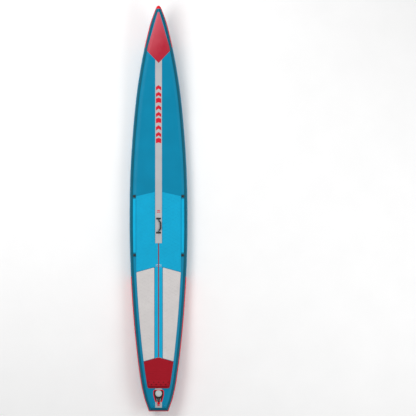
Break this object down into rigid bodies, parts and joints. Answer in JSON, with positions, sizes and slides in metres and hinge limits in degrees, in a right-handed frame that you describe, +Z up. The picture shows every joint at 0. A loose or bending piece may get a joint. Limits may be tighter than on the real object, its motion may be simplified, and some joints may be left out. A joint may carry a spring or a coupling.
{
  "type": "inflatable stand up paddleboard",
  "caption": "Long narrow inflatable race paddleboard with drop-stitch hull, foam deck pads, carry handle, air valve, leash ring, cargo loops and a slotted fin box.",
  "frame": {"origin": "below the middle of the board, on the surface that it lies on", "axes": "+X towards the nose, +Y to port, +Z up through the deck"},
  "size_m": [4.2689, 0.61, 0.3337],
  "materials": {
    "pvc_blue": "satin coated fabric",
    "pvc_teal": "satin coated fabric",
    "pvc_red": "satin coated fabric",
    "pvc_kite": "satin coated fabric",
    "pvc_grey": "satin coated fabric",
    "pvc_black": "satin coated fabric",
    "plastic_white": "moulded",
    "yarn": "polyester yarn",
    "eva_blue": "grooved foam",
    "eva_bright_blue": "grooved foam",
    "eva_grey": "grooved foam",
    "eva_red": "grooved foam",
    "webbing_teal": "woven webbing",
    "webbing_black": "woven webbing",
    "neoprene": "soft sleeve",
    "plastic_black": "moulded",
    "plastic_grey": "moulded",
    "seal_rubber": "matt",
    "steel": "satin"
  },
  "bodies": {
    "root": {"deck_skin": "pvc_blue", "bottom_skin": "pvc_blue", "sidewall_port": "pvc_blue", "sidewall_starboard": "pvc_blue", "sidewall_tail": "pvc_blue", "bottom_seam_tape_port": "pvc_blue", "bottom_seam_tape_starboard": "pvc_blue", "bottom_seam_tape_tail": "pvc_blue", "deck_seam_tape_port": "pvc_teal", "deck_seam_tape_starboard": "pvc_teal", "deck_seam_tape_tail": "pvc_teal", "tie_patches": "pvc_teal", "rail_guard_nose_port": "pvc_red", "rail_guard_nose_starboard": "pvc_red", "rail_guard_rear_port": "pvc_red", "rail_guard_rear_starboard": "pvc_red", "rail_guard_tail": "pvc_red", "nose_cap": "pvc_red", "valve_patch_border": "pvc_red", "leash_patch": "pvc_red", "nose_patch": "pvc_kite", "deck_stringer": "pvc_grey", "bottom_stringer": "pvc_grey", "valve_patch": "pvc_black", "fin_box_base": "pvc_black", "tail_release_edge": "plastic_white", "drop_stitch_yarns": "yarn", "front_pad_port": "eva_blue", "front_pad_starboard": "eva_blue", "centre_pad_port": "eva_blue", "centre_pad_starboard": "eva_blue", "side_pad_port": "eva_bright_blue", "side_pad_starboard": "eva_bright_blue", "stance_pad_port": "eva_grey", "stance_pad_starboard": "eva_grey", "kick_pad": "eva_red", "kick_bar": "eva_red", "centre_line_strip": "eva_red", "tie_loop_rear_port": "webbing_teal", "tie_loop_rear_starboard": "webbing_teal", "tie_loop_front_port": "webbing_teal", "tie_loop_front_starboard": "webbing_teal", "leash_tab": "webbing_black", "handle_anchor_rear": "plastic_black", "handle_anchor_front": "plastic_black", "fin_box": "plastic_black", "valve_body": "plastic_grey", "valve_nut": "plastic_grey", "valve_gasket": "seal_rubber", "valve_spring": "steel", "valve_cap_pin": "steel"},
    "valve_cap": {"valve_cap": "plastic_grey", "cap_seal": "seal_rubber"},
    "valve_plunger": {"valve_plunger": "plastic_grey", "valve_diaphragm": "seal_rubber"},
    "leash_ring": {"leash_ring": "steel"},
    "handle": {"handle_strap": "webbing_black", "handle_grip": "neoprene"}
  },
  "joints": [
    {"name": "valve_cap_hinge", "type": "hinge", "parent": "root", "child": "valve_cap", "pos_m": [-1.9171, 0, 0.2251], "axis": [0, 1, 0], "range_deg": [0, 110]},
    {"name": "valve_plunger_slide", "type": "slide", "parent": "root", "child": "valve_plunger", "axis": [0, 0, -1], "range_m": [0, 0.005], "stiffness_N_per_m": 600, "springref_m": -0.004, "deforming": ["valve_spring"]},
    {"name": "leash_ring_hinge", "type": "hinge", "parent": "root", "child": "leash_ring", "pos_m": [-2.0325, 0, 0.21945], "axis": [0, 1, 0], "range_deg": [0, 150]},
    {"name": "handle_flop", "type": "hinge", "parent": "root", "child": "handle", "pos_m": [-0.1805, 0, 0.163], "axis": [-1, 0, 0], "range_deg": [0, 180]}
  ]
}
